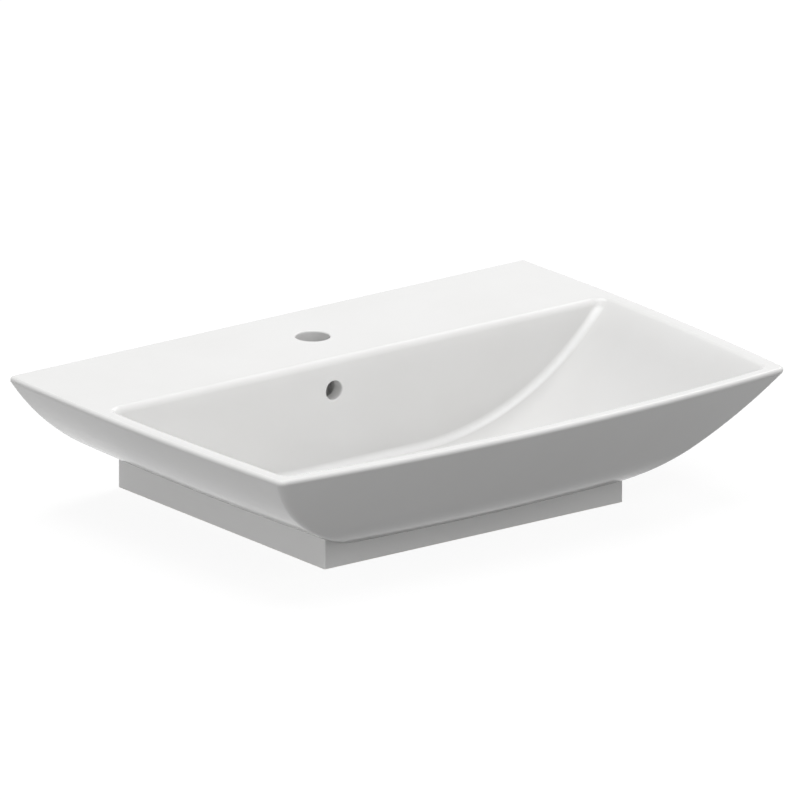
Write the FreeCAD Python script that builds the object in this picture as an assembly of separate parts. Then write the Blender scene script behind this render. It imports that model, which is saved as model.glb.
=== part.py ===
import FreeCAD, Part
import math
import os
from FreeCAD import Vector

# Semi recessed basin: one glazed ceramic casting, a boat-shaped hull on a square plinth, with a
# slotted click-clack waste in its outlet. Millimetres. The origin is where the worktop, the wall
# and the basin's plane of symmetry meet: +X to the right, +Y into the wall, +Z up, so the basin
# lies on the -Y side and stands on the worktop at Z = 0.

# ---- rim, seen from above -----------------------------------------------------------------
BACK_WIDTH = 650.0          # straight back edge, along the wall
FRONT_CORNER_INSET = 5.75   # each front corner lies this much nearer the middle
CORNER_DEPTH = 445.0        # wall to the front corners
SIDE_BOW = 6.8              # outward bow of each side edge
FRONT_BOW = 21.4            # outward bow of the front edge
HEIGHT = 143.0              # worktop to the rim
RIM_ROUND = 3.7             # rounding of the rim's outer edge

# ---- hull ---------------------------------------------------------------------------------
HULL_DEPTH = 124.9          # rim to the flat underside of the hull
HULL_SIDE_SLOPE = 54.7      # degrees, flank at the side of the rim
HULL_SIDE_RADIUS = 279.0    # wide arc from that flank into the underside
HULL_FRONT_SLOPE = 53.5     # degrees, flank at the front
HULL_FRONT_RADIUS = 115.0   # arc from that flank into the underside
HULL_CORNER_ROUND = 13.0    # the two creases that run down from the front corners

# ---- bowl ---------------------------------------------------------------------------------
FLOOR_DEPTH = 115.3         # rim to the flat floor
BOWL_SIDE_SLOPE = 50.0      # degrees, flank under the side of the rim
BOWL_SIDE_RADIUS = 302.5    # wide arc from that flank into the floor
SIDE_RIM_WIDTH = 16.1       # rim line to the bowl, left and right
FRONT_RIM_WIDTH = 14.0      # rim line to the bowl, front
BOWL_FRONT_SLOPE = 53.5     # degrees, flank inside the front
BOWL_FRONT_RADIUS = 100.0   # arc from that flank into the floor
DECK_DEPTH = 149.5          # wall to the bowl's upright back wall
BOWL_BACK_ROUND = 8.0       # foot and ends of that back wall
BOWL_CORNER_ROUND = 14.0    # the two inner creases at the front
BOWL_LIP_ROUND = 7.5        # upper edge of the bowl

# ---- deck and the hollow under it ---------------------------------------------------------
DECK_THICKNESS = 15.0
BACK_WALL = 12.0            # flat back, against the wall
BOWL_BACK_WALL = 14.0       # between the bowl and the hollow
HULL_WALL = 14.0            # hull beside the hollow
TAP_HOLE_RADIUS = 17.5
TAP_HOLE_FROM_WALL = 75.0
TAP_HOLE_ROUND = 2.0

# ---- plinth -------------------------------------------------------------------------------
PLINTH_WIDTH = 376.0
PLINTH_DEPTH = 345.0
PLINTH_WALL = 14.0
PLINTH_EDGE_ROUND = 1.5
PLINTH_INNER_ROUND = 8.0

# ---- outlet, overflow and the duct between them -------------------------------------------
OUTLET_FROM_WALL = 250.0
OUTLET_HOLE_RADIUS = 22.5
OUTLET_BOSS_RADIUS = 41.0
OUTLET_BOSS_FOOT = 2.0      # height of the boss's underside over the worktop
OUTLET_SEAT_DROP = 5.2      # floor to the seat of the flange
OUTLET_SEAT_RADIUS = 33.5
DISH_RADIUS = 88.0          # shallow dish that falls to the outlet
DISH_FALL = 2.1
DUCT_ROOF = 7.0             # ceramic between the flange's seat and the duct
DUCT_HEIGHT = 7.5           # clear height under the floor
DUCT_CHAMBER_RADIUS = 32.0  # ring-shaped space round the waste
DUCT_WIDTH = 28.0           # clear width behind the bowl
DUCT_GAP = 12.0             # clear depth behind the bowl
DUCT_WALL = 8.0
OVERFLOW_RADIUS = 10.0
OVERFLOW_OFFSET = -28.6     # left of the middle
OVERFLOW_DROP = 33.4        # rim to the hole's centre
OVERFLOW_ROUND = 1.5

# ---- waste: flange and tail ---------------------------------------------------------------
FLANGE_RADIUS = 32.0
FLANGE_EDGE = 2.0           # thickness at the rim of the flange
FLANGE_LAND = 5.5           # width of its flat outer land
GASKET_THICKNESS = 1.0
TAIL_RADIUS = 20.95         # G 1 1/4 thread, over the crests
TAIL_BORE_RADIUS = 18.6
FLANGE_CHAMFER = 0.6
SLOT_COUNT = 4
SLOT_WIDTH = 15.0
THROAT_EDGE = 0.7           # thickness left where the flange's cone meets the bore
CLAMP_THREAD_LENGTH = 28.0  # upper thread, under the outlet's boss, for the back nut
THREAD_GAP = 6.0            # plain waist between the two threads
TRAP_THREAD_LENGTH = 32.0   # lower thread, for the trap
THREAD_RELIEF = 0.8         # radial, how much smaller the plain waist and neck are
BRIDGE_ARMS = 3
BRIDGE_ARM_WIDTH = 3.5
BRIDGE_HEIGHT = 6.0
BRIDGE_DROP = 49.5          # flange top to the top of the bridge
HUB_RADIUS = 8.5
STUD_RADIUS = 5.0
STUD_BELOW_BRIDGE = 2.0

# ---- waste: click cartridge, plug and spring ----------------------------------------------
PLUG_TRAVEL = 8.5           # down from the open, sprung-up place to shut
CARTRIDGE_RADIUS = 9.5
CARTRIDGE_LENGTH = 32.8
CARTRIDGE_FLOOR = 2.0
CARTRIDGE_BORE_RADIUS = 6.9
CARTRIDGE_CAP_HEIGHT = 3.2
SPRING_CHAMBER_RADIUS = 4.2
CAM_RING_HEIGHT = 4.0
CAM_RING_HOLE_RADIUS = 4.0
CAM_TEETH = 8
CAM_TOOTH_HEIGHT = 1.2
CAM_STEP = 45.0             # degrees the ring turns at each push
STEM_RADIUS = 5.0
STEM_COLLAR_RADIUS = 6.4
STEM_COLLAR_HEIGHT = 4.0
STEM_NOSE_RADIUS = 3.5
STEM_NOSE_LENGTH = 6.0
STEM_THREAD_RADIUS = 3.9
STEM_THREAD_LENGTH = 6.0
CAP_RADIUS = 30.5
CAP_CROWN = 2.6             # rise of the domed top
CAP_THICKNESS = 2.2
CAP_LIP_DEPTH = 1.4
CAP_LIP_WIDTH = 1.8
CAP_LIP_GAP = 0.6           # shut cap over the flange
CAP_EDGE_ROUND = 1.2
CAP_BOSS_RADIUS = 7.5
CAP_BOSS_LENGTH = 7.0
SEAL_INNER_RADIUS = 21.0
SEAL_WIDTH = 4.5
SEAL_COLLAR_WALL = 1.4
SPRING_WIRE_RADIUS = 0.5
SPRING_COIL_RADIUS = 2.8
SPRING_TURNS = 5
SPRING_WIRE_SIDES = 6       # the hidden spring's wire is drawn with flats

# ---- waste: clamping pieces under the outlet ----------------------------------------------
CONE_RADIUS = 30.0
CONE_THICKNESS = 7.0
CONE_LIP = 3.0              # how far the cone reaches up into the outlet hole
CONE_LIP_TAPER = 0.6
WASHER_RADIUS = 29.0
WASHER_THICKNESS = 1.5
NUT_ACROSS_FLATS = 52.0
NUT_HEIGHT = 11.0
NUT_CHAMFER = 1.5

# ---- clearances ---------------------------------------------------------------------------
RUNNING_CLEARANCE = 0.08    # radial, where one metal piece slides or turns in another
SCREWED_CLEARANCE = 0.05    # radial, thread crests in a screwed joint
SEAL_CLEARANCE = 0.25       # shut seal over its seat, which a soft seal takes up
LOOSE_CLEARANCE = 0.35      # radial, washers and gaskets on the tail
STOP_CLEARANCE = 0.3        # stem collar under the cartridge cap, and over the cam ring

UP = Vector(0, 0, 1)
FAR = 2000.0                # beyond the basin, for cutting tools
PAST_ENDS = 220.0           # how far a swept tool runs past the ends of its rim edge
LEVEL_CUT = 0.1             # shaved off the flats, so that the creases end on them with a width

# ---- places worked out from the sizes above -----------------------------------------------
BACK_RIGHT = Vector(BACK_WIDTH / 2, 0, 0)
FRONT_RIGHT = Vector(BACK_WIDTH / 2 - FRONT_CORNER_INSET, -CORNER_DEPTH, 0)
FRONT_LEFT = Vector(-FRONT_RIGHT.x, FRONT_RIGHT.y, 0)
FLOOR_Z = HEIGHT - FLOOR_DEPTH
HULL_FOOT_Z = HEIGHT - HULL_DEPTH
HOLLOW_FRONT_Y = BOWL_BACK_WALL - DECK_DEPTH
OUTLET = Vector(0, -OUTLET_FROM_WALL, 0)
SEAT_Z = FLOOR_Z - OUTLET_SEAT_DROP
DUCT_TOP_Z = SEAT_Z - DUCT_ROOF
DUCT_FOOT_Z = DUCT_TOP_Z - DUCT_HEIGHT
OVERFLOW_Z = HEIGHT - OVERFLOW_DROP

FLANGE_FOOT_Z = SEAT_Z + GASKET_THICKNESS
FLANGE_TOP_Z = FLANGE_FOOT_Z + FLANGE_EDGE
LAND_RADIUS = FLANGE_RADIUS - FLANGE_LAND
SEAL_RADIUS = SEAL_INNER_RADIUS + SEAL_WIDTH
CAP_LIP_Z = FLANGE_TOP_Z + CAP_LIP_GAP + PLUG_TRAVEL    # the plug's places are for the open plug
CAP_UNDER_Z = CAP_LIP_Z + CAP_LIP_DEPTH
SHOULDER_Z = CAP_UNDER_Z - CAP_BOSS_LENGTH
BRIDGE_Z = FLANGE_TOP_Z - BRIDGE_DROP
CARTRIDGE_TOP_Z = BRIDGE_Z + CARTRIDGE_LENGTH
COLLAR_TOP_Z = CARTRIDGE_TOP_Z - STOP_CLEARANCE
COLLAR_FOOT_Z = COLLAR_TOP_Z - STEM_COLLAR_HEIGHT
NOSE_Z = COLLAR_FOOT_Z - STEM_NOSE_LENGTH
CAM_TIP_Z = COLLAR_FOOT_Z - PLUG_TRAVEL - STOP_CLEARANCE
CAM_FOOT_Z = CAM_TIP_Z - CAM_TOOTH_HEIGHT - CAM_RING_HEIGHT
CONE_FOOT_Z = OUTLET_BOSS_FOOT - CONE_THICKNESS
NUT_TOP_Z = CONE_FOOT_Z - WASHER_THICKNESS
CLAMP_THREAD_FOOT_Z = OUTLET_BOSS_FOOT - CLAMP_THREAD_LENGTH
TRAP_THREAD_TOP_Z = CLAMP_THREAD_FOOT_Z - THREAD_GAP
TAIL_FOOT_Z = TRAP_THREAD_TOP_Z - TRAP_THREAD_LENGTH


# ---- general shapes -----------------------------------------------------------------------
def cylinder(radius, low, high, centre=OUTLET):
    """Upright cylinder between two heights."""
    return Part.makeCylinder(radius, high - low, centre + UP * low)


def ring(outer, inner, low, high):
    """Flat ring round the outlet's axis."""
    return cylinder(outer, low, high).cut(cylinder(inner, low - 1, high + 1))


def turned(points, centre=OUTLET, axis=UP):
    """Solid turned round an axis from (radius, height) corners of its section."""
    side = Vector(1, 0, 0)
    corners = [centre + side * radius + axis * height for radius, height in points]
    section = Part.Face(Part.makePolygon(corners + corners[:1]))
    return section.revolve(centre, axis, 360)


def upright_block(x_from, x_to, y_from, y_to, low, high):
    """Box between two corners."""
    return Part.makeBox(x_to - x_from, y_to - y_from, high - low, Vector(x_from, y_from, low))


def prism(corners, low, high):
    """Upright prism over plan corners (x, y)."""
    points = [Vector(x, y, low) for x, y in corners]
    return Part.Face(Part.makePolygon(points + points[:1])).extrude(UP * (high - low))


def rounded(solid, radius, wanted):
    """Fillet the edges that wanted(bounding box) picks."""
    edges = [edge for edge in solid.Edges if wanted(edge.BoundBox)]
    return solid.makeFillet(radius, edges)


def mirrored(solid):
    """The same solid on the other side of the plane of symmetry."""
    return solid.mirror(Vector(0, 0, 0), Vector(1, 0, 0))


def mouth_cutter(radius, rounding, length, mouth, into):
    """Drill with a flared collar, for a hole whose mouth is softly rounded by the glaze.

    mouth is the hole's centre on the surface and into points the way the drill goes.
    """
    side = Vector(1, 0, 0)

    def place(out, depth):
        return mouth + side * out + into * depth

    bend = math.sqrt(0.5) * rounding
    flare = Part.Arc(place(radius + rounding, 0), place(radius + rounding - bend, rounding - bend),
                     place(radius, rounding)).toShape()
    rest = Part.makePolygon([place(radius, rounding), place(radius, length), place(0, length),
                             place(0, -1), place(radius + rounding, -1),
                             place(radius + rounding, 0)])
    return Part.Face(Part.Wire([flare] + rest.Edges)).revolve(mouth, into, 360)


# ---- sections swept along the bowed rim ---------------------------------------------------
def swept_along(start, end, bow, outline):
    """Solid swept along one bowed edge of the rim, by turning a section round the bow's centre.

    start and end are the ends of the edge's chord. outline(place) returns the section's face,
    and place(inset, height) is a point that far in from the rim line.
    """
    half = (end - start).Length / 2
    radius = (half ** 2 + bow ** 2) / (2 * bow)
    along = (end - start).normalize()
    outward = Vector(along.y, -along.x, 0)
    centre = (start + end) * 0.5 + outward * (bow - radius)

    def place(inset, height):
        return centre + outward * (radius - inset) + UP * height

    swing = math.degrees(math.asin((half + PAST_ENDS) / radius))
    section = outline(place)
    section.rotate(centre, UP, -swing)
    return section.revolve(centre, UP, 2 * swing)


def flank_and_arc(rim_inset, rim_z, slope, radius, foot_z):
    """Section that leaves the rim plane as a straight flank, then turns flat at foot_z."""
    lean = math.radians(slope)
    centre_z = foot_z + radius
    drop = rim_z - centre_z + radius * math.cos(lean)
    centre_inset = rim_inset + drop / math.tan(lean) + radius * math.sin(lean)
    far = BACK_WIDTH * 1.2

    def outline(place):
        def on_arc(angle):
            return place(centre_inset - radius * math.sin(angle),
                         centre_z - radius * math.cos(angle))

        flank = Part.makeLine(place(rim_inset, rim_z), on_arc(lean))
        arc = Part.Arc(on_arc(lean), on_arc(lean / 2), on_arc(0)).toShape()
        rest = Part.makePolygon([on_arc(0), place(far, foot_z), place(far, rim_z),
                                 place(rim_inset, rim_z)])
        return Part.Face(Part.Wire([flank, arc] + rest.Edges))

    return outline


def sharp_rim_inset(slope):
    """Where a flank of this slope meets the rim plane, so that RIM_ROUND ends on the rim."""
    return RIM_ROUND * (1 - 1 / math.tan(math.radians(slope) / 2))


def right_side(section):
    """The right-hand side's section, swept along the bowed side of the rim."""
    return swept_along(FRONT_RIGHT, BACK_RIGHT, SIDE_BOW, section)


def trough(side, front, back_y):
    """Space between both sides, the front and an upright plane at back_y."""
    right = right_side(side)
    nose = swept_along(FRONT_LEFT, FRONT_RIGHT, FRONT_BOW, front)
    ahead = upright_block(-FAR, FAR, back_y - FAR, back_y, -FAR, FAR)
    return right.common(mirrored(right)).common(nose).common(ahead)


# ---- the ceramic --------------------------------------------------------------------------
def shaved(solid, foot_z):
    """The solid from a level plane up."""
    return solid.common(upright_block(-FAR, FAR, -FAR, FAR, foot_z, FAR))


def is_crease(box):
    """The two edges of a trough that climb to its front corners."""
    return min(box.XLength, box.YLength, box.ZLength) > LEVEL_CUT


def hull():
    """Boat-shaped outside, solid, with rounded creases and rim.

    It is rounded with its rim at zero and then lifted, so that its height changes no crease.
    """
    depth = HULL_DEPTH + LEVEL_CUT
    side = flank_and_arc(sharp_rim_inset(HULL_SIDE_SLOPE), 0, HULL_SIDE_SLOPE, HULL_SIDE_RADIUS,
                         -depth)
    front = flank_and_arc(sharp_rim_inset(HULL_FRONT_SLOPE), 0, HULL_FRONT_SLOPE,
                          HULL_FRONT_RADIUS, -depth)
    solid = rounded(trough(side, front, 0), HULL_CORNER_ROUND, is_crease)
    solid = shaved(solid, -HULL_DEPTH)
    solid.translate(UP * HEIGHT)
    return rounded(solid, RIM_ROUND, lambda box: box.ZMin > HEIGHT - 0.01 and box.YMin < -1)


def bowl():
    """Space inside the bowl, up to the rim, with the dish that falls to the outlet."""
    depth = FLOOR_DEPTH + LEVEL_CUT
    side = flank_and_arc(SIDE_RIM_WIDTH, 0, BOWL_SIDE_SLOPE, BOWL_SIDE_RADIUS, -depth)
    front = flank_and_arc(FRONT_RIM_WIDTH, 0, BOWL_FRONT_SLOPE, BOWL_FRONT_RADIUS, -depth)
    space = rounded(trough(side, front, -DECK_DEPTH), BOWL_CORNER_ROUND, is_crease)
    space = rounded(space, BOWL_BACK_ROUND,
                    lambda box: box.YMin > -DECK_DEPTH - 0.01 and box.ZMin < -0.01)
    space = shaved(space, -FLOOR_DEPTH)
    space.translate(UP * HEIGHT)
    dish = turned([(0, FLOOR_Z - DISH_FALL), (OUTLET_SEAT_RADIUS, FLOOR_Z - DISH_FALL),
                   (DISH_RADIUS, FLOOR_Z), (DISH_RADIUS, FLOOR_Z + DISH_FALL),
                   (0, FLOOR_Z + DISH_FALL)])
    return space.fuse(dish)


def plinth():
    """Outside of the square plinth, reaching up into the hull."""
    half = PLINTH_WIDTH / 2
    block = upright_block(-half, half, -PLINTH_DEPTH, 0, 0, HEIGHT / 2)
    return rounded(block, PLINTH_EDGE_ROUND,
                   lambda box: box.ZLength > 1 and box.YMax < 1 - PLINTH_DEPTH)


def hollow(outside):
    """Open space under the ceramic: the plinth's inside and the chamber under the deck."""
    half = PLINTH_WIDTH / 2 - PLINTH_WALL
    wall_y = -BACK_WALL
    roof_z = HEIGHT - DECK_THICKNESS
    inset = HULL_WALL * math.tan(math.radians(HULL_SIDE_SLOPE) / 2)
    right = right_side(flank_and_arc(sharp_rim_inset(HULL_SIDE_SLOPE) + inset, HEIGHT + HULL_WALL,
                                     HULL_SIDE_SLOPE, HULL_SIDE_RADIUS - HULL_WALL,
                                     HULL_FOOT_Z + HULL_WALL))
    behind_bowl = upright_block(-FAR, FAR, HOLLOW_FRONT_Y, wall_y, -FAR, roof_z)
    chamber = right.common(mirrored(right)).common(behind_bowl)
    well = upright_block(-half, half, HOLLOW_FRONT_Y, wall_y, -1, HEIGHT / 2)
    under_bowl = upright_block(-half, half, PLINTH_WALL - PLINTH_DEPTH, HOLLOW_FRONT_Y, -1,
                               HEIGHT / 2)
    under_bowl = rounded(under_bowl, PLINTH_INNER_ROUND,
                         lambda box: box.ZLength > 1 and box.YMax < HOLLOW_FRONT_Y - 1)
    return chamber.fuse(well).fuse(under_bowl.cut(outside))


def duct_plan(narrowing):
    """Plan corners of the duct's run under the floor, from behind the bowl to the outlet."""
    half = DUCT_WIDTH / 2 + DUCT_WALL - narrowing
    back_y = HOLLOW_FRONT_Y + DUCT_GAP + DUCT_WALL - narrowing
    reach = DUCT_CHAMBER_RADIUS - narrowing
    return [(OVERFLOW_OFFSET - half, back_y), (OVERFLOW_OFFSET + half, back_y),
            (reach, OUTLET.y), (-reach, OUTLET.y)]


def duct_walls():
    """Outside of the overflow duct and of the outlet's boss, before the water's way is cut."""
    half = DUCT_WIDTH / 2 + DUCT_WALL
    back_y = HOLLOW_FRONT_Y + DUCT_GAP + DUCT_WALL
    rise = upright_block(OVERFLOW_OFFSET - half, OVERFLOW_OFFSET + half, HOLLOW_FRONT_Y - 1,
                         back_y, OUTLET_BOSS_FOOT, HEIGHT - DECK_THICKNESS + 1)
    rise = rounded(rise, DUCT_WALL / 2, lambda box: box.ZLength > 1 and box.YMin > back_y - 0.01)
    run = prism(duct_plan(0), OUTLET_BOSS_FOOT, HULL_FOOT_Z + 1)
    boss = cylinder(OUTLET_BOSS_RADIUS, OUTLET_BOSS_FOOT, HULL_FOOT_Z + 1)
    return rise.fuse(run).fuse(boss)


def duct_space():
    """The water's way from the overflow hole to the ring-shaped chamber round the waste."""
    half = DUCT_WIDTH / 2
    top_z = OVERFLOW_Z + DUCT_WIDTH / 2
    rise = upright_block(OVERFLOW_OFFSET - half, OVERFLOW_OFFSET + half, HOLLOW_FRONT_Y,
                         HOLLOW_FRONT_Y + DUCT_GAP, DUCT_FOOT_Z, top_z)
    run = prism(duct_plan(DUCT_WALL), DUCT_FOOT_Z, DUCT_TOP_Z)
    chamber = cylinder(DUCT_CHAMBER_RADIUS, DUCT_FOOT_Z, DUCT_TOP_Z)
    return rise.fuse(run).fuse(chamber)


def basin_body():
    """The whole ceramic casting."""
    outside = hull()
    casting = outside.fuse(plinth()).cut(bowl())
    casting = rounded(casting, BOWL_LIP_ROUND,
                      lambda box: box.ZMin > HEIGHT - 0.01 and box.YMax < 1 - DECK_DEPTH
                      and box.YMin > 1 - CORNER_DEPTH - FRONT_BOW + FRONT_RIM_WIDTH / 2)
    casting = casting.cut(hollow(outside)).fuse(duct_walls()).cut(duct_space())
    tap_hole = mouth_cutter(TAP_HOLE_RADIUS, TAP_HOLE_ROUND, DECK_THICKNESS + 1,
                            Vector(0, -TAP_HOLE_FROM_WALL, HEIGHT), -UP)
    overflow = mouth_cutter(OVERFLOW_RADIUS, OVERFLOW_ROUND, BOWL_BACK_WALL + 1,
                            Vector(OVERFLOW_OFFSET, -DECK_DEPTH, OVERFLOW_Z), Vector(0, 1, 0))
    outlet = cylinder(OUTLET_HOLE_RADIUS, OUTLET_BOSS_FOOT - 1, SEAT_Z + 1)
    seat = cylinder(OUTLET_SEAT_RADIUS, SEAT_Z, FLOOR_Z + 1)
    return casting.cut(tap_hole).cut(overflow).cut(outlet).cut(seat)


# ---- the waste ----------------------------------------------------------------------------
def seat_height(radius):
    """Height of the flange's cone, which the plug's seal shuts on."""
    rise = (FLANGE_EDGE - THROAT_EDGE) / (LAND_RADIUS - TAIL_BORE_RADIUS)
    return FLANGE_TOP_Z - (LAND_RADIUS - radius) * rise


def waste_body():
    """Flange, slotted tail with its two threads, and the bridge that holds the cartridge."""
    neck = TAIL_RADIUS - THREAD_RELIEF
    body = turned([(TAIL_BORE_RADIUS, seat_height(TAIL_BORE_RADIUS)), (LAND_RADIUS, FLANGE_TOP_Z),
                   (FLANGE_RADIUS - FLANGE_CHAMFER, FLANGE_TOP_Z),
                   (FLANGE_RADIUS, FLANGE_TOP_Z - FLANGE_CHAMFER), (FLANGE_RADIUS, FLANGE_FOOT_Z),
                   (neck, FLANGE_FOOT_Z), (neck, OUTLET_BOSS_FOOT), (TAIL_RADIUS, OUTLET_BOSS_FOOT),
                   (TAIL_RADIUS, CLAMP_THREAD_FOOT_Z), (neck, CLAMP_THREAD_FOOT_Z),
                   (neck, TRAP_THREAD_TOP_Z), (TAIL_RADIUS, TRAP_THREAD_TOP_Z),
                   (TAIL_RADIUS, TAIL_FOOT_Z), (TAIL_BORE_RADIUS, TAIL_FOOT_Z)])
    for step in range(SLOT_COUNT):
        slot = upright_block(0, FLANGE_RADIUS, -SLOT_WIDTH / 2, SLOT_WIDTH / 2, DUCT_FOOT_Z,
                             DUCT_TOP_Z)
        slot.rotate(Vector(0, 0, 0), UP, (step + 0.5) * 360 / SLOT_COUNT)
        slot.translate(OUTLET)
        body = body.cut(slot)
    for step in range(BRIDGE_ARMS):
        arm = upright_block(0, TAIL_BORE_RADIUS + 0.5, -BRIDGE_ARM_WIDTH / 2, BRIDGE_ARM_WIDTH / 2,
                            BRIDGE_Z - BRIDGE_HEIGHT, BRIDGE_Z)
        arm.rotate(Vector(0, 0, 0), UP, step * 360 / BRIDGE_ARMS)
        arm.translate(OUTLET)
        body = body.fuse(arm)
    body = body.fuse(cylinder(HUB_RADIUS, BRIDGE_Z - BRIDGE_HEIGHT, BRIDGE_Z))
    return body.cut(cylinder(STUD_RADIUS + SCREWED_CLEARANCE, BRIDGE_Z - BRIDGE_HEIGHT - 1,
                             BRIDGE_Z + 1))


def flange_gasket():
    """Soft ring between the flange and the ceramic."""
    return ring(FLANGE_RADIUS - FLANGE_CHAMFER, TAIL_RADIUS + LOOSE_CLEARANCE, SEAT_Z,
                FLANGE_FOOT_Z)


def sealing_cone():
    """Rubber cone under the outlet's boss, its lip up inside the hole."""
    inner = TAIL_RADIUS + LOOSE_CLEARANCE
    lip = OUTLET_HOLE_RADIUS - LOOSE_CLEARANCE
    taper = min(CONE_LIP_TAPER, (lip - inner) / 2)
    return turned([(inner, CONE_FOOT_Z), (WASHER_RADIUS, CONE_FOOT_Z),
                   (CONE_RADIUS, OUTLET_BOSS_FOOT - CONE_THICKNESS / 2),
                   (CONE_RADIUS, OUTLET_BOSS_FOOT), (lip, OUTLET_BOSS_FOOT),
                   (lip - taper, OUTLET_BOSS_FOOT + CONE_LIP), (inner, OUTLET_BOSS_FOOT + CONE_LIP)])


def slip_washer():
    """Flat washer that lets the nut turn without dragging the cone."""
    return ring(WASHER_RADIUS, TAIL_RADIUS + LOOSE_CLEARANCE, NUT_TOP_Z, CONE_FOOT_Z)


def back_nut():
    """Chamfered hexagon nut on the clamping thread."""
    low = NUT_TOP_Z - NUT_HEIGHT
    across = NUT_ACROSS_FLATS / 2
    corner = across / math.cos(math.pi / 6)
    corners = [(OUTLET.x + corner * math.cos(step * math.pi / 3),
                OUTLET.y + corner * math.sin(step * math.pi / 3)) for step in range(6)]
    blank = turned([(0, low), (across, low), (corner, low + NUT_CHAMFER),
                    (corner, NUT_TOP_Z - NUT_CHAMFER), (across, NUT_TOP_Z), (0, NUT_TOP_Z)])
    bore = cylinder(TAIL_RADIUS + SCREWED_CLEARANCE, low - 1, NUT_TOP_Z + 1)
    return prism(corners, low, NUT_TOP_Z).common(blank).cut(bore)


def plug_cap():
    """Domed cap, hollow underneath, with the seal's collar and the boss for the stem."""
    top_z = CAP_UNDER_Z + CAP_THICKNESS
    crown_z = top_z + CAP_CROWN
    lip_inner = CAP_RADIUS - CAP_LIP_WIDTH
    collar_inner = SEAL_INNER_RADIUS - SEAL_COLLAR_WALL
    collar_z = seat_height(SEAL_INNER_RADIUS) + PLUG_TRAVEL + 2 * SEAL_CLEARANCE
    thread = STEM_THREAD_RADIUS + SCREWED_CLEARANCE
    thread_top_z = SHOULDER_Z + STEM_THREAD_LENGTH + STOP_CLEARANCE
    side = Vector(1, 0, 0)

    def place(radius, height):
        return OUTLET + side * radius + UP * height

    brow = CAP_RADIUS - CAP_EDGE_ROUND
    brow_z = top_z - CAP_EDGE_ROUND
    bend = math.sqrt(0.5) * CAP_EDGE_ROUND
    crown = Part.Arc(place(-brow, top_z), place(0, crown_z), place(brow, top_z))
    dome = Part.Arc(place(0, crown_z), crown.value(0.75 * crown.LastParameter
                                                   + 0.25 * crown.FirstParameter),
                    place(brow, top_z)).toShape()
    edge = Part.Arc(place(brow, top_z), place(brow + bend, brow_z + bend),
                    place(CAP_RADIUS, brow_z)).toShape()
    under = Part.makePolygon([place(CAP_RADIUS, brow_z), place(CAP_RADIUS, CAP_LIP_Z),
                              place(lip_inner, CAP_LIP_Z), place(lip_inner, CAP_UNDER_Z),
                              place(SEAL_INNER_RADIUS, CAP_UNDER_Z),
                              place(SEAL_INNER_RADIUS, collar_z), place(collar_inner, collar_z),
                              place(collar_inner, CAP_UNDER_Z), place(CAP_BOSS_RADIUS, CAP_UNDER_Z),
                              place(CAP_BOSS_RADIUS, SHOULDER_Z), place(thread, SHOULDER_Z),
                              place(thread, thread_top_z), place(0, thread_top_z),
                              place(0, crown_z)])
    return Part.Face(Part.Wire([dome, edge] + under.Edges)).revolve(OUTLET, UP, 360)


def plug_seal():
    """Soft ring under the cap, its foot cut to the cone of the flange."""
    inner = SEAL_INNER_RADIUS + SCREWED_CLEARANCE
    lift = PLUG_TRAVEL + SEAL_CLEARANCE
    return turned([(inner, seat_height(inner) + lift), (SEAL_RADIUS, seat_height(SEAL_RADIUS) + lift),
                   (SEAL_RADIUS, CAP_UNDER_Z), (inner, CAP_UNDER_Z)])


def plug_stem():
    """Thread for the cap, shank, stop collar and the nose that pushes the spring."""
    top_z = SHOULDER_Z + STEM_THREAD_LENGTH
    return turned([(0, NOSE_Z), (STEM_NOSE_RADIUS, NOSE_Z), (STEM_NOSE_RADIUS, COLLAR_FOOT_Z),
                   (STEM_COLLAR_RADIUS, COLLAR_FOOT_Z), (STEM_COLLAR_RADIUS, COLLAR_TOP_Z),
                   (STEM_RADIUS, COLLAR_TOP_Z), (STEM_RADIUS, SHOULDER_Z),
                   (STEM_THREAD_RADIUS, SHOULDER_Z), (STEM_THREAD_RADIUS, top_z), (0, top_z)])


def cartridge_body():
    """Housing of the click mechanism, its stud screwed into the bridge."""
    stud_z = BRIDGE_Z - BRIDGE_HEIGHT - STUD_BELOW_BRIDGE
    floor_z = BRIDGE_Z + CARTRIDGE_FLOOR
    ledge_z = CAM_FOOT_Z - RUNNING_CLEARANCE
    return turned([(0, stud_z), (STUD_RADIUS, stud_z), (STUD_RADIUS, BRIDGE_Z),
                   (CARTRIDGE_RADIUS, BRIDGE_Z), (CARTRIDGE_RADIUS, CARTRIDGE_TOP_Z),
                   (CARTRIDGE_BORE_RADIUS, CARTRIDGE_TOP_Z), (CARTRIDGE_BORE_RADIUS, ledge_z),
                   (SPRING_CHAMBER_RADIUS, ledge_z), (SPRING_CHAMBER_RADIUS, floor_z),
                   (0, floor_z)])


def cartridge_cap():
    """Screwed cap of the cartridge, which guides the stem and stops its collar."""
    return ring(CARTRIDGE_RADIUS, STEM_RADIUS + RUNNING_CLEARANCE, CARTRIDGE_TOP_Z,
                CARTRIDGE_TOP_Z + CARTRIDGE_CAP_HEIGHT)


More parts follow.
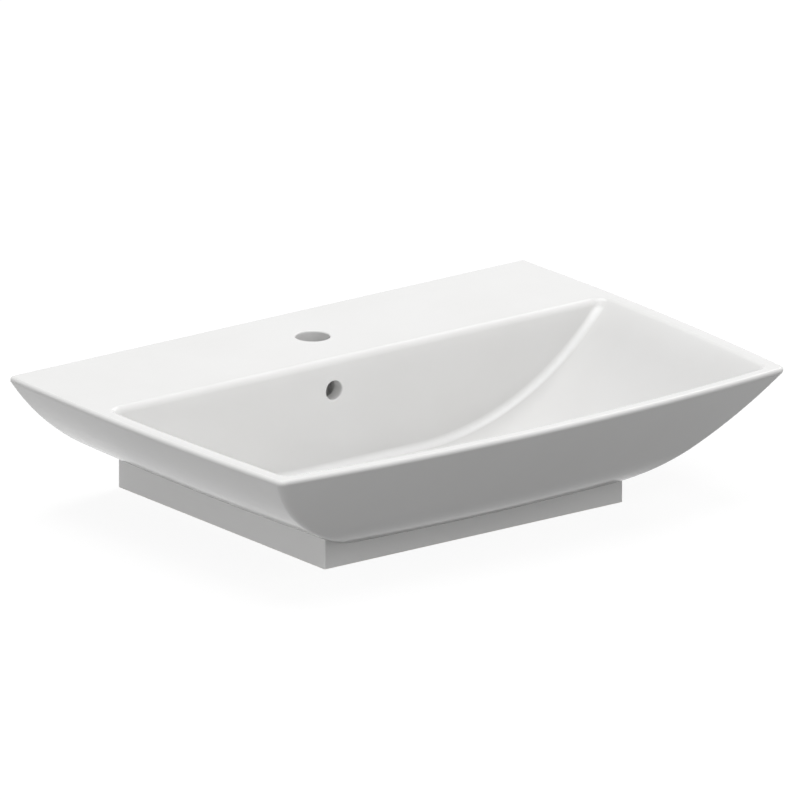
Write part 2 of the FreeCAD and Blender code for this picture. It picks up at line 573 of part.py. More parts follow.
def cam_ring():
    """Ring with saw teeth that turns a step each time the stem's collar is pushed on it."""
    outer = CARTRIDGE_BORE_RADIUS - RUNNING_CLEARANCE
    body_z = CAM_TIP_Z - CAM_TOOTH_HEIGHT
    solid = ring(outer, CAM_RING_HOLE_RADIUS, CAM_FOOT_Z, body_z)
    half = math.pi * CAM_RING_HOLE_RADIUS / CAM_TEETH
    rim = ring(outer, CAM_RING_HOLE_RADIUS, body_z - 1, CAM_TIP_Z)
    for step in range(CAM_TEETH):
        saw = [Vector(0, -half, body_z), Vector(0, half, body_z), Vector(0, half, CAM_TIP_Z)]
        tooth = Part.Face(Part.makePolygon(saw + saw[:1])).extrude(Vector(2 * outer, 0, 0))
        tooth.rotate(Vector(0, 0, 0), UP, step * 360 / CAM_TEETH)
        tooth.translate(OUTLET)
        solid = solid.fuse(tooth.common(rim))
    return solid


def return_spring():
    """Coil spring between the cartridge's floor and the stem's nose."""
    low = BRIDGE_Z + CARTRIDGE_FLOOR + SPRING_WIRE_RADIUS
    height = NOSE_Z - SPRING_WIRE_RADIUS - low
    helix = Part.makeHelix(height / SPRING_TURNS, height, SPRING_COIL_RADIUS)
    helix.translate(OUTLET + UP * low)
    start = helix.Edges[0].Vertexes[0].Point
    heading = helix.Edges[0].tangentAt(helix.Edges[0].FirstParameter)
    side = Vector(1, 0, 0)
    across = heading.cross(side).normalize()
    corners = []
    for step in range(SPRING_WIRE_SIDES):
        angle = 2 * math.pi * step / SPRING_WIRE_SIDES
        corners.append(start + (side * math.cos(angle) + across * math.sin(angle))
                       * SPRING_WIRE_RADIUS)
    wire = Part.makePolygon(corners + corners[:1])
    return Part.Wire(helix).makePipeShell([wire], True, True)


def save(name, shape):
    """Write one sub-part as a STEP file named after its node."""
    shape.exportStep(os.path.join("parts", name + ".step"))


def main():
    """Build every sub-part and write it out."""
    os.makedirs("parts", exist_ok=True)
    for build in (basin_body, waste_body, flange_gasket, sealing_cone, slip_washer, back_nut,
                  plug_cap, plug_seal, plug_stem, cartridge_body, cartridge_cap, cam_ring,
                  return_spring):
        save(build.__name__, build())


main()
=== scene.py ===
import logging
import math
from dataclasses import dataclass, field
from enum import Enum

import bmesh
import bpy
from mathutils import Matrix, Vector


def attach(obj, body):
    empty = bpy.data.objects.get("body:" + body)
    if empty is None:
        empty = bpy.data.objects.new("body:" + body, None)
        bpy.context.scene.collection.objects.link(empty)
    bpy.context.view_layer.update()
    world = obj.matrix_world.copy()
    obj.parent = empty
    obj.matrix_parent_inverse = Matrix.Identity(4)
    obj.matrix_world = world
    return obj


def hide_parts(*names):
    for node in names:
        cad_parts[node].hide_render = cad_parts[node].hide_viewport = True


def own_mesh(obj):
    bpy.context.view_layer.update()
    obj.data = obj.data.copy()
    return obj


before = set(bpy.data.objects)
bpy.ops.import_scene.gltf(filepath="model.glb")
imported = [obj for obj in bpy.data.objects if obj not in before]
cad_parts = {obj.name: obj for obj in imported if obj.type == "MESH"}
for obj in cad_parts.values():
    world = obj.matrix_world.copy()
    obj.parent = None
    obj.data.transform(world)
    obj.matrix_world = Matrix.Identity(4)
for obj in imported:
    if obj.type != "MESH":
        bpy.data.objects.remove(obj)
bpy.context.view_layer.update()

# Visual model of a semi recessed basin: the glazed casting and its click waste, dressed over the
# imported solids. Metres, in the frame of the solids: the worktop is Z = 0, the wall is Y = 0.

LOG = logging.getLogger("basin")
MM = 0.001
# Points nearer than this are one.
JOIN = 0.002 * MM
# Where the waste's axis crosses the worktop.
OUTLET = Vector((0, -0.25, 0))
# The mesh attribute that holds the painted highlight in the crease along the bowl's back wall.
HIGHLIGHT_ATTRIBUTE = "glaze_pool"
# How far the large faces lead when the light over a piece is faired, where 50 is even.
FAIR_WEIGHT = 60
# About how far apart a wave texture sets its rings at scale 1.
WAVE_RING = 0.3

Colour = tuple[float, float, float, float]
Point = tuple[float, float, float]
Span = tuple[float, float]


def grey(level: float) -> Colour:
    """An opaque grey of the given linear level."""
    return (level, level, level, 1.0)


class Shade(Enum):
    """How the faces of a piece take light: the angle in degrees from which an edge stays sharp."""

    TURNED = 35.0
    CAST = 28.0


# ---- node trees -----------------------------------------------------------------------------
@dataclass(frozen=True)
class Cloud:
    """A noise pattern, and the part of its range that a finish uses.

    Attributes:
        scale: clouds to the metre.
        layers: finer layers laid over them.
        low: value up to which the noise shows nothing.
        high: value from which it shows in full.
    """

    scale: float
    layers: float
    low: float = 0.0
    high: float = 1.0


class Recipe:
    """A node tree being written, with short calls for its nodes and links."""

    def __init__(self, tree: bpy.types.NodeTree) -> None:
        """Take a node tree and empty it."""
        self.tree = tree
        tree.nodes.clear()

    def add(self, kind: str, **values: object) -> bpy.types.Node:
        """Add a node, and set its properties and sockets.

        Args:
            kind: the node's type name in Blender.
            values: properties of the node, or sockets, with underscores for spaces. A node or an
                output as a value is linked.

        Returns:
            The new node.
        """
        node = self.tree.nodes.new(kind)
        for name, value in values.items():
            if hasattr(node, name):
                setattr(node, name, value)
                continue
            socket = self.socket(node, name.replace("_", " "))
            if isinstance(value, bpy.types.Node):
                self.tree.links.new(value.outputs[0], socket)
            elif isinstance(value, bpy.types.NodeSocket):
                self.tree.links.new(value, socket)
            else:
                socket.default_value = value
        return node

    @staticmethod
    def socket(node: bpy.types.Node, name: str) -> bpy.types.NodeSocket:
        """The input of a node by its name, or by its number as text.

        Args:
            node: the node that has the input.
            name: the input's name, whatever its capitals, or its place as text such as "in1".

        Returns:
            The input socket.
        """
        if name.startswith("in") and name[2:].isdigit():
            return node.inputs[int(name[2:])]
        for socket in node.inputs:
            if socket.name.lower() == name.lower() and socket.enabled:
                return socket
        raise KeyError(f"{node.bl_idname} has no input named {name}")

    def place(self) -> bpy.types.NodeSocket:
        """Where a point lies on the piece."""
        return self.add("ShaderNodeTexCoord").outputs["Object"]

    def noise(self, where: bpy.types.NodeSocket, cloud: Cloud) -> bpy.types.Node:
        """Noise with the clouds of a given pattern."""
        return self.add("ShaderNodeTexNoise", Vector=where, Scale=cloud.scale,
                        Detail=cloud.layers)

    def mix(self, factor: object, low: object, high: object) -> bpy.types.NodeSocket:
        """Blend two colours, where a factor of 0 gives the first and 1 the second."""
        node = self.add("ShaderNodeMix", data_type="RGBA", Factor=factor, A=low, B=high)
        return next(output for output in node.outputs if output.enabled)

    def spread(self, source: object, low: float, high: float, lo_in: float = 0.0,
               hi_in: float = 1.0) -> bpy.types.NodeSocket:
        """Map a value from the range lo_in to hi_in to the range low to high, kept inside it."""
        return self.add("ShaderNodeMapRange", Value=source, From_Min=lo_in, From_Max=hi_in,
                        To_Min=low, To_Max=high).outputs[0]

    def tone(self, noise: bpy.types.Node, cloud: Cloud, low: float,
             high: float) -> bpy.types.NodeSocket:
        """Map the part of a noise's range that its pattern uses to the range low to high."""
        return self.spread(noise, low, high, cloud.low, cloud.high)

    def background_seen(self) -> bpy.types.NodeSocket:
        """Tell the rays that see the background: from the camera, in gloss and through glass.

        Returns:
            1 for those rays and 0 for the rest, which carry the background's light.
        """
        rays = self.add("ShaderNodeLightPath").outputs
        sight = self.add("ShaderNodeMath", operation="MAXIMUM", in0=rays["Is Camera Ray"],
                         in1=rays["Is Glossy Ray"])
        return self.add("ShaderNodeMath", operation="MAXIMUM", in0=sight,
                        in1=rays["Is Transmission Ray"]).outputs[0]


# ---- finishes -------------------------------------------------------------------------------
@dataclass(frozen=True)
class Finish:
    """A finish that a piece can be given; each kind of finish writes its own nodes."""

    name: str

    def material(self) -> bpy.types.Material:
        """Make the finish as a Blender material, or find it where it is made already.

        Returns:
            The material.
        """
        made = bpy.data.materials.get(self.name)
        if made is None:
            made = bpy.data.materials.new(self.name)
            made.use_nodes = True
            recipe = Recipe(made.node_tree)
            shader = self.shader(recipe)
            recipe.add("ShaderNodeOutputMaterial", Surface=shader)
        return made

    def shader(self, recipe: Recipe) -> bpy.types.Node:
        """Write the finish's nodes and return its shader."""
        raise NotImplementedError


@dataclass(frozen=True)
class SanitaryGlaze(Finish):
    """White glaze over a fired body, bare and matte on the ground foot.

    Attributes:
        colour: the glaze at its usual depth.
        thin: the glaze where it has flowed away a little.
        highlight_white: painted highlight, the whiter colour laid in the crease along the bowl's
            back wall.
        biscuit: the fired body under it.
        grog: the ground grains in the body.
        flow: where the glaze lies thinner.
        ripple: the soft waves of its surface.
        grit: the grains of the body.
        grog_most: how far the grains' colour shows.
        foot: height to which the plinth's foot is ground bare.
        gloss: roughness of the glaze, from and to.
        matte: roughness of the bare body.
        bump: strength of the waves and grains.
        depth: their height.
        refraction: how the glaze bends light.
    """

    colour: Colour = (0.805, 0.803, 0.797, 1.0)
    thin: Colour = (0.785, 0.782, 0.774, 1.0)
    # Painted highlight: a whiter colour laid in the crease along the bowl's back wall, standing in
    # for light.
    highlight_white: Colour = (0.955, 0.955, 0.950, 1.0)
    biscuit: Colour = (0.72, 0.69, 0.63, 1.0)
    grog: Colour = (0.64, 0.60, 0.54, 1.0)
    flow: Cloud = Cloud(9.0, 3.0, 0.35, 0.70)
    ripple: Cloud = Cloud(34.0, 1.0, 0.30, 0.70)
    grit: Cloud = Cloud(900.0, 2.0, 0.45, 0.75)
    grog_most: float = 0.35
    foot: float = 0.6 * MM
    gloss: Span = (0.13, 0.18)
    matte: float = 0.85
    bump: float = 0.03
    depth: float = 0.6 * MM
    refraction: float = 1.45

    def shader(self, recipe: Recipe) -> bpy.types.Node:
        """Write the glaze: faint flow in its colour, a painted highlight in the crease, and its
        gloss.

        Args:
            recipe: the tree to write into.

        Returns:
            The shader node.
        """
        where = recipe.place()
        flow = recipe.noise(where, self.flow)
        grit = recipe.noise(where, self.grit)
        ripple = recipe.noise(where, self.ripple)
        height = recipe.add("ShaderNodeSeparateXYZ", Vector=where).outputs["Z"]
        bare = recipe.spread(height, 1.0, 0.0, self.foot / 2, self.foot)
        even = recipe.mix(recipe.tone(flow, self.flow, 0.0, 1.0), self.colour, self.thin)
        # Painted highlight: the crease along the bowl's back wall is blended towards a whiter
        # colour.
        highlight_mask = recipe.add("ShaderNodeAttribute", attribute_name=HIGHLIGHT_ATTRIBUTE).outputs["Fac"]
        glazed = recipe.mix(highlight_mask, even, self.highlight_white)
        fired = recipe.mix(recipe.tone(grit, self.grit, 0.0, self.grog_most), self.biscuit,
                           self.grog)
        gloss = recipe.tone(ripple, self.ripple, *self.gloss)
        rough = recipe.add("ShaderNodeMapRange", Value=bare, To_Min=gloss, To_Max=self.matte)
        relief = recipe.add("ShaderNodeMath", operation="MULTIPLY_ADD", in0=grit, in1=bare,
                            in2=ripple)
        bump = recipe.add("ShaderNodeBump", Strength=self.bump, Distance=self.depth,
                          Height=relief)
        return recipe.add("ShaderNodeBsdfPrincipled", Base_Color=recipe.mix(bare, glazed, fired),
                          Roughness=rough, Normal=bump, IOR=self.refraction)


@dataclass(frozen=True)
class Plating(Finish):
    """Bright plating over turned brass.

    Attributes:
        colour: the bare plating.
        dried: the plating under a dried drop.
        bloom: where it is hazier.
        haze: roughness of the plating, from and to.
        spots: dried drops to the metre, each way.
        spot: how much of the way to the next drop one reaches.
        stain: how far a drop's colour shows.
    """

    colour: Colour = (0.78, 0.79, 0.81, 1.0)
    dried: Colour = (0.70, 0.71, 0.72, 1.0)
    bloom: Cloud = Cloud(45.0, 4.0, 0.35, 0.75)
    haze: Span = (0.05, 0.11)
    spots: float = 260.0
    spot: float = 0.25
    stain: float = 0.25

    def shader(self, recipe: Recipe) -> bpy.types.Node:
        """Write the plating: even metal with a breath of haze and water spots.

        Args:
            recipe: the tree to write into.

        Returns:
            The shader node.
        """
        where = recipe.place()
        haze = recipe.tone(recipe.noise(where, self.bloom), self.bloom, *self.haze)
        spots = recipe.add("ShaderNodeTexVoronoi", Vector=where, Scale=self.spots)
        tint = recipe.mix(recipe.spread(spots, self.stain, 0.0, 0.0, self.spot), self.colour,
                          self.dried)
        return recipe.add("ShaderNodeBsdfPrincipled", Base_Color=tint, Metallic=1.0,
                          Roughness=haze)


@dataclass(frozen=True)
class TurnedMetal(Finish):
    """Bare metal with the fine rings that a lathe leaves round the waste's axis.

    Attributes:
        colour: the clean metal.
        dull: the tarnished metal.
        tarnish: where it is tarnished.
        tarnish_most: how far the tarnish's colour shows.
        rough: roughness of the metal, from and to.
        pitch: from ring to ring.
        wander: how far the rings leave a true circle.
        bump: strength of the rings.
        depth: their height.
    """

    colour: Colour = (0.66, 0.47, 0.22, 1.0)
    dull: Colour = (0.50, 0.34, 0.15, 1.0)
    tarnish: Cloud = Cloud(120.0, 5.0, 0.40, 0.75)
    tarnish_most: float = 0.8
    rough: Span = (0.22, 0.42)
    pitch: float = 0.35 * MM
    wander: float = 0.3
    bump: float = 0.15
    depth: float = 0.05 * MM

    def shader(self, recipe: Recipe) -> bpy.types.Node:
        """Write the rings as bump, and the tarnish in colour and gloss.

        Args:
            recipe: the tree to write into.

        Returns:
            The shader node.
        """
        where = recipe.place()
        centred = recipe.add("ShaderNodeMapping", Vector=where, Location=-OUTLET)
        rings = recipe.add("ShaderNodeTexWave", Vector=centred, wave_type="RINGS",
                           rings_direction="Z", Scale=WAVE_RING / self.pitch,
                           Distortion=self.wander)
        tarnish = recipe.noise(where, self.tarnish)
        bump = recipe.add("ShaderNodeBump", Strength=self.bump, Distance=self.depth,
                          Height=rings)
        tint = recipe.mix(recipe.tone(tarnish, self.tarnish, 0.0, self.tarnish_most),
                          self.colour, self.dull)
        return recipe.add("ShaderNodeBsdfPrincipled", Base_Color=tint, Metallic=1.0,
                          Roughness=recipe.spread(tarnish, *self.rough), Normal=bump)


@dataclass(frozen=True)
class Moulded(Finish):
    """Moulded plastic or rubber with a fine skin.

    Attributes:
        colour: the material as moulded.
        dark: its mottling.
        rough: roughness of the skin, from and to.
        mottle: where it is mottled.
        grain: the skin's grain.
        bump: strength of the grain.
        depth: its height.
    """

    colour: Colour = (0.75, 0.75, 0.71, 1.0)
    dark: Colour = (0.66, 0.66, 0.62, 1.0)
    rough: Span = (0.40, 0.53)
    mottle: Cloud = Cloud(70.0, 3.0, 0.35, 0.70)
    grain: Cloud = Cloud(1500.0, 2.0)
    bump: float = 0.08
    depth: float = 0.1 * MM

    def shader(self, recipe: Recipe) -> bpy.types.Node:
        """Write the skin: grain as bump, faint mottling in the colour.

        Args:
            recipe: the tree to write into.

        Returns:
            The shader node.
        """
        where = recipe.place()
        grain = recipe.noise(where, self.grain)
        mottle = recipe.noise(where, self.mottle)
        bump = recipe.add("ShaderNodeBump", Strength=self.bump, Distance=self.depth,
                          Height=grain)
        tint = recipe.mix(recipe.tone(mottle, self.mottle, 0.0, 1.0), self.colour, self.dark)
        return recipe.add("ShaderNodeBsdfPrincipled", Base_Color=tint, Normal=bump,
                          Roughness=recipe.spread(mottle, *self.rough))


@dataclass(frozen=True)
class PaleTop(Finish):
    """The plain worktop: pale where it is seen, and dim in the light that it throws back.

    Attributes:
        bounce: how much light it throws on to the basin.
        shadow: the part of its tone that the basin's shadow can take away.
        glow: the part that is always there.
    """

    bounce: float = 0.06
    shadow: float = 0.15
    glow: float = 0.90

    def shader(self, recipe: Recipe) -> bpy.types.Node:
        """Write how the worktop looks and how it throws light back, chosen by the kind of ray.

        Args:
            recipe: the tree to write into.

        Returns:
            The shader node.
        """
        seen = recipe.background_seen()
        dim = recipe.add("ShaderNodeBsdfDiffuse", Color=grey(self.bounce))
        shadow = recipe.add("ShaderNodeBsdfDiffuse", Color=grey(self.shadow))
        glow = recipe.add("ShaderNodeEmission", Color=grey(1.0), Strength=self.glow)
        pale = recipe.add("ShaderNodeAddShader", in0=shadow, in1=glow)
        return recipe.add("ShaderNodeMixShader", in0=seen, in1=dim, in2=pale)


GLAZE = SanitaryGlaze("sanitary_glaze")
CHROME = Plating("bright_plating")
BRASS = TurnedMetal("turned_brass")
STEEL = TurnedMetal("drawn_steel", colour=(0.55, 0.55, 0.55, 1.0), dull=(0.42, 0.42, 0.43, 1.0))
ACETAL = Moulded("acetal")
NYLON = Moulded("clear_nylon", colour=(0.78, 0.78, 0.74, 1.0), dark=(0.72, 0.72, 0.68, 1.0),
                rough=(0.25, 0.38))
RUBBER = Moulded("black_rubber", colour=(0.030, 0.030, 0.032, 1.0),
                 dark=(0.022, 0.022, 0.024, 1.0), rough=(0.57, 0.70), grain=Cloud(2200.0, 2.0),
                 bump=0.25)
WORKTOP = PaleTop("pale_worktop")


# ---- meshes ---------------------------------------------------------------------------------
def shade(mesh: bpy.types.Mesh, how: Shade) -> None:
    """Smooth a mesh's faces and keep its corners sharp.

    Args:
        mesh: the mesh to shade.
        how: which edges stay sharp.
    """
    work = bmesh.new()
    work.from_mesh(mesh)
    limit = math.radians(how.value)
    for edge in work.edges:
        edge.smooth = len(edge.link_faces) == 2 and edge.calc_face_angle(0.0) < limit
    for face in work.faces:
        face.smooth = True
    work.to_mesh(mesh)
    work.free()


def add_object(name: str, data: bpy.types.ID | None) -> bpy.types.Object:
    """Put a new object with this data into the scene.

    Args:
        name: the object's name.
        data: its mesh, lamp or camera.

    Returns:
        The object.
    """
    made = bpy.data.objects.new(name, data)
    bpy.context.scene.collection.objects.link(made)
    return made


def fair_copy(node: str, name: str, how: Shade) -> bpy.types.Object:
    """Copy a node's surface, join its loose triangles and fair the light over it.

    Args:
        node: the node to copy, which the new piece is to stand for.
        name: the new piece's name.
        how: which edges stay sharp.

    Returns:
        The new piece.
    """
    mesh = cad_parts[node].data.copy()
    mesh.name = name
    work = bmesh.new()
    work.from_mesh(mesh)
    bmesh.ops.remove_doubles(work, verts=work.verts, dist=JOIN)
    work.to_mesh(mesh)
    work.free()
    stored = mesh.attributes.get("custom_normal")
    if stored is not None:
        mesh.attributes.remove(stored)
    shade(mesh, how)
    piece = add_object(name, mesh)
    fair = piece.modifiers.new("fair", "WEIGHTED_NORMAL")
    fair.mode = "FACE_AREA_WITH_ANGLE"
    fair.weight = FAIR_WEIGHT
    fair.keep_sharp = True
    return piece


def dress(piece: bpy.types.Object, finish: Finish) -> None:
    """Give a piece one finish all over."""
    piece.data.materials.clear()
    piece.data.materials.append(finish.material())


# ---- the object -----------------------------------------------------------------------------
@dataclass
class Casting:
    """The glazed ceramic.

    Attributes:
        node: the solid that it stands for.
        body: what it rides on.
        back_wall: Y of the bowl's back wall.
        crease: radius of the round along that wall's foot.
        lip_foot: height at which the deck's lip begins.
        upward: least rise of a normal at which a point faces up.
    """

    node: str = "basin_body"
    body: str = "basin"
    back_wall: float = -149.5 * MM
    crease: float = 8.0 * MM
    lip_foot: float = 135.0 * MM
    upward: float = 0.02

    def paint_crease_highlight(self, mesh: bpy.types.Mesh) -> None:
        """Set on the mesh where the glaze gets a painted highlight: on the round along the foot of
        the bowl's back wall.

        Args:
            mesh: the casting's mesh, which gets the attribute.
        """
        highlight_marks = mesh.attributes.new(HIGHLIGHT_ATTRIBUTE, "FLOAT", "POINT")
        for point, mark in zip(mesh.vertices, highlight_marks.data):
            out = (self.back_wall - point.co.y) / self.crease
            faces_up = point.normal.z > self.upward
            if 0 < out < 1 and faces_up and point.co.z < self.lip_foot:
                # Painted highlight: strongest halfway round the crease's round, nothing at its
                # ends.
                turn = math.acos(1 - out) / (math.pi / 2)
                mark.value = math.sin(math.pi * turn)

    def build(self) -> None:
        """Fair the casting's surface, set its painted highlight and glaze it."""
        piece = fair_copy(self.node, "glazed_casting", Shade.CAST)
        self.paint_crease_highlight(piece.data)
        dress(piece, GLAZE)
        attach(piece, self.body)
        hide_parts(self.node)
        LOG.info("casting: %d faces", len(piece.data.polygons))


@dataclass(frozen=True)
class Thread:
    """One pipe thread of the tail: a helical ridge that stands on a core.

    Attributes:
        foot: height of its lower end.
        top: height of its upper end.
        crest: radius over the ridge.
        depth: how far the ridge stands out of the core.
        pitch: rise of one turn.
        root_width: the ridge's width at the core.
        crest_width: its width at the crest.
        steps: points on one turn.
        near: how close to the crest's radius a point of the plain tail is part of the thread.
    """

    foot: float
    top: float
    crest: float = 20.95 * MM
    depth: float = 1.3 * MM
    pitch: float = 2.309 * MM
    root_width: float = 2.1 * MM
    crest_width: float = 0.5 * MM
    steps: int = 72
    near: float = 0.05 * MM

    def ridge_tree(self) -> bpy.types.GeometryNodeTree:
        """Write the node tree that winds the ridge's section up a helix of the named sizes.

        Returns:
            The tree, whose result is the ridge as a mesh.
        """
        tree = bpy.data.node_groups.new("thread_ridge", "GeometryNodeTree")
        for name in ("Turns", "Radius", "Rise"):
            tree.interface.new_socket(name, in_out="INPUT", socket_type="NodeSocketFloat")
        tree.interface.new_socket("Ridge", in_out="OUTPUT", socket_type="NodeSocketGeometry")
        recipe = Recipe(tree)
        sizes = recipe.add("NodeGroupInput").outputs
        helix = recipe.add("GeometryNodeCurveSpiral", Resolution=self.steps, Reverse=True,
                           Rotations=sizes["Turns"], Start_Radius=sizes["Radius"],
                           End_Radius=sizes["Radius"], Height=sizes["Rise"])
        upright = recipe.add("GeometryNodeSetCurveNormal", mode="Z_UP", Curve=helix)
        low, high = self.root_width / 2, self.crest_width / 2
        section = recipe.add("GeometryNodeCurvePrimitiveQuadrilateral", mode="POINTS",
                             Point_1=(JOIN, low, 0), Point_2=(JOIN, -low, 0),
                             Point_3=(-self.depth, -high, 0), Point_4=(-self.depth, high, 0))
        swept = recipe.add("GeometryNodeCurveToMesh", Curve=upright, Profile_Curve=section,
                           Fill_Caps=True)
        real = recipe.add("GeometryNodeRealizeInstances", Geometry=swept)
        plated = recipe.add("GeometryNodeSetMaterial", Geometry=real, Material=CHROME.material())
        recipe.add("NodeGroupOutput", Ridge=plated)
        return tree

    def ridge(self) -> bpy.types.Mesh:
        """Wind the ridge.

        Returns:
            The ridge as a plain mesh, in its place on the tail.
        """
        tree = self.ridge_tree()
        rise = self.top - self.foot - self.root_width
        wanted = {"Turns": rise / self.pitch, "Radius": self.crest - self.depth, "Rise": rise}
        holder = add_object("thread", bpy.data.meshes.new("thread"))
        modifier = holder.modifiers.new("ridge", "NODES")
        modifier.node_group = tree
        for item in tree.interface.items_tree:
            if item.name in wanted:
                modifier[item.identifier] = wanted[item.name]
        bpy.context.view_layer.update()
        seen = holder.evaluated_get(bpy.context.evaluated_depsgraph_get())
        mesh = bpy.data.meshes.new_from_object(seen)
        mesh.transform(Matrix.Translation(OUTLET + Vector((0, 0, self.foot + self.root_width / 2))))
        bpy.data.objects.remove(holder)
        return mesh

    def sink_core(self, work: bmesh.types.BMesh) -> None:
        """Draw the plain cylinder of the crests in to the thread's core.

        Args:
            work: the tail's mesh, changed in place.
        """
        for point in work.verts:
            out = point.co - OUTLET
            radius = math.hypot(out.x, out.y)
            on_crest = abs(radius - self.crest) < self.near
            if on_crest and self.foot - JOIN < out.z < self.top + JOIN:
                share = (self.crest - self.depth) / radius
                point.co.x = OUTLET.x + out.x * share
                point.co.y = OUTLET.y + out.y * share


@dataclass
class Tail:
    """Flange and tail of the waste, with its two threads cut.

    Attributes:
        node: the solid that it stands for.
        body: what it rides on.
        threads: the back nut's thread, and the one at the lower end.
    """

    node: str = "waste_body"
    body: str = "basin"
    threads: tuple[Thread, ...] = (Thread(foot=-26.0 * MM, top=2.0 * MM),
                                   Thread(foot=-64.0 * MM, top=-32.0 * MM))

    def build(self) -> None:
        """Thread a copy of the tail and plate it."""
        piece = fair_copy(self.node, "threaded_tail", Shade.TURNED)
        work = bmesh.new()
        work.from_mesh(piece.data)
        for thread in self.threads:
            thread.sink_core(work)
            work.from_mesh(thread.ridge())
        bmesh.ops.recalc_face_normals(work, faces=work.faces)
        work.to_mesh(piece.data)
        work.free()
        shade(piece.data, Shade.TURNED)
        dress(piece, CHROME)
        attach(piece, self.body)
        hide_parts(self.node)
        LOG.info("tail: %d faces", len(piece.data.polygons))


@dataclass
class Spring:
    """The coil spring under the stem.

    Attributes:
        node: the solid that it stands for.
        body: what it rides on.
        joint: the joint that presses it; not used.
        travel: how far it is pressed; not used.
    """

    node: str = "return_spring"
    body: str = "basin"
    joint: str = "plug_slide"
    travel: float = 8.5 * MM

    def build(self) -> None:
        """Copy the spring and give it its finish."""
        piece = fair_copy(self.node, "coiled_spring", Shade.CAST)
        dress(piece, STEEL)
        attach(piece, self.body)
        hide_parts(self.node)
        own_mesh(piece)


@dataclass
class Waste:
    """Clamping pieces, cartridge and plug, which keep their solids.

    Attributes:
        finishes: the finish of each solid.
    """

    finishes: dict[str, Finish] = field(default_factory=lambda: {
        "flange_gasket": RUBBER, "sealing_cone": RUBBER, "slip_washer": NYLON, "back_nut": BRASS,
        "plug_cap": CHROME, "plug_seal": RUBBER, "plug_stem": BRASS,
        "cartridge_body": ACETAL, "cartridge_cap": BRASS, "cam_ring": ACETAL})

    def build(self) -> None:
        """Dress each solid of the waste."""
        for node, finish in self.finishes.items():
            dress(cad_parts[node], finish)
            LOG.info("%s: %s", node, finish.name)


# ---- the room -------------------------------------------------------------------------------
@dataclass(frozen=True)
class SoftBox:
    """A rectangular lamp that faces the basin from one side.

    Attributes:
        name: the lamp's name.
        way: the side on which it hangs, as seen from the basin.
        width: its size from side to side.
        height: its size upwards.
        power: its strength in watts.
        mirrored: whether the glaze and the metal mirror it.
        reach: how far off it hangs.
        middle: the point that it faces.
    """

    name: str
    way: Point
    width: float
    height: float
    power: float
    mirrored: bool = True
    reach: float = 6.0
    middle: Point = (0.0, -0.23, 0.07)

    def hang(self) -> None:
        """Put the lamp in its place."""
        lamp = bpy.data.lights.new(self.name, "AREA")
        lamp.shape = "RECTANGLE"
        lamp.size = self.width
        lamp.size_y = self.height
        lamp.energy = self.power
        box = add_object(self.name, lamp)
        box.visible_glossy = self.mirrored
        way = Vector(self.way).normalized()
        box.location = Vector(self.middle) + way * self.reach
        box.rotation_euler = (-way).to_track_quat("-Z", "Y").to_euler()


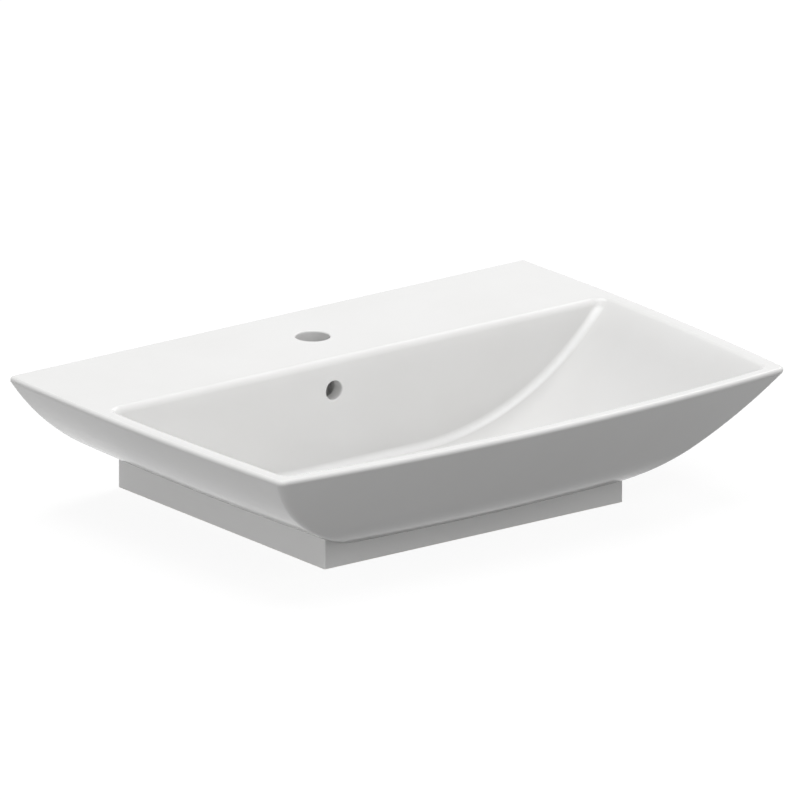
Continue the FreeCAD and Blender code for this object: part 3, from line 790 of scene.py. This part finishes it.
@dataclass
class Studio:
    """Worktop, sky, lamps and camera.

    Attributes:
        floor_reach: how far the worktop goes each way.
        sink: how far it lies under the plinth's foot, so that they share no plane.
        hole_half: half the width of its hole.
        hole_near: Y of the hole's front edge.
        hole_far: Y of the hole's back edge.
        dome: the light of the sky.
        azimuth: the camera's turn to the right of square on, in degrees.
        elevation: its height over the horizon, in degrees.
        width: what the picture takes in from side to side.
        aim: the point in the middle of the picture.
        distance: how far off the camera stands.
        sight: how far it sees.
        boxes: the lamps.
    """

    floor_reach: float = 9.0
    sink: float = 0.2 * MM
    hole_half: float = 0.165
    hole_near: float = -0.315
    hole_far: float = -0.02
    dome: float = 0.36
    azimuth: float = -36.97
    elevation: float = 17.57
    width: float = 0.80645
    aim: Point = (-0.05855, -0.2992, 0.143)
    distance: float = 2.5
    sight: float = 50.0
    boxes: tuple[SoftBox, ...] = (
        SoftBox("overhead", (0.0, 0.0, 1.0), 4.8, 4.8, 205.0),
        SoftBox("key", (-0.30, -0.70, 0.64), 2.2, 2.2, 47.0),
        SoftBox("rim", (0.72, 0.28, 0.64), 2.4, 2.4, 56.0),
        SoftBox("front", (0.0, -0.96, 0.27), 1.8, 1.8, 28.0),
        SoftBox("low_front", (-0.40, -0.91, 0.05), 1.9, 0.5, 26.0, mirrored=False),
        SoftBox("low_left", (-0.99, -0.10, 0.02), 1.9, 0.4, 92.0, mirrored=False),
        SoftBox("right", (0.93, -0.28, 0.22), 1.8, 1.8, 26.0, mirrored=False),
        SoftBox("behind", (0.15, 0.97, 0.20), 1.8, 1.8, 32.0, mirrored=False))

    def worktop(self) -> None:
        """Lay the plain worktop, with the hole that the waste goes down through."""
        reach, half = self.floor_reach, self.hole_half
        near, far = self.hole_near, self.hole_far
        outer = [(-reach, -reach), (reach, -reach), (reach, reach), (-reach, reach)]
        inner = [(-half, near), (half, near), (half, far), (-half, far)]
        corners = [(x, y, -self.sink) for x, y in outer + inner]
        faces = [(step, (step + 1) % 4, 4 + (step + 1) % 4, 4 + step) for step in range(4)]
        mesh = bpy.data.meshes.new("worktop")
        mesh.from_pydata(corners, [], faces)
        top = add_object("worktop", mesh)
        dress(top, WORKTOP)

    def sky(self) -> None:
        """Light the scene from a plain dome, which shows as white."""
        world = bpy.data.worlds.new("studio_dome")
        world.use_nodes = True
        recipe = Recipe(world.node_tree)
        seen = recipe.background_seen()
        dome = recipe.add("ShaderNodeBackground", Color=grey(1.0), Strength=self.dome)
        white = recipe.add("ShaderNodeBackground", Color=grey(1.0), Strength=1.0)
        both = recipe.add("ShaderNodeMixShader", in0=seen, in1=dome, in2=white)
        recipe.add("ShaderNodeOutputWorld", Surface=both)
        bpy.context.scene.world = world

    def camera(self) -> None:
        """Set the camera at the photograph's angle, far off and without perspective."""
        lens = bpy.data.cameras.new("camera")
        lens.type = "ORTHO"
        lens.ortho_scale = self.width
        lens.clip_end = self.sight
        camera = add_object("camera", lens)
        turn, lift = math.radians(self.azimuth), math.radians(self.elevation)
        back = Vector((math.sin(turn) * math.cos(lift), -math.cos(turn) * math.cos(lift),
                       math.sin(lift)))
        camera.location = Vector(self.aim) + back * self.distance
        camera.rotation_euler = (-back).to_track_quat("-Z", "Y").to_euler()
        bpy.context.scene.camera = camera

    def build(self) -> None:
        """Set up the room."""
        self.camera()
        self.worktop()
        self.sky()
        for box in self.boxes:
            box.hang()
        bpy.context.scene.view_settings.view_transform = "Standard"


def main() -> None:
    """Build the room and the basin."""
    logging.basicConfig(level=logging.INFO, format="%(name)s: %(message)s")
    Studio().build()
    Casting().build()
    Tail().build()
    Spring().build()
    Waste().build()
    bpy.context.view_layer.update()


if __name__ == "__main__":
    main()
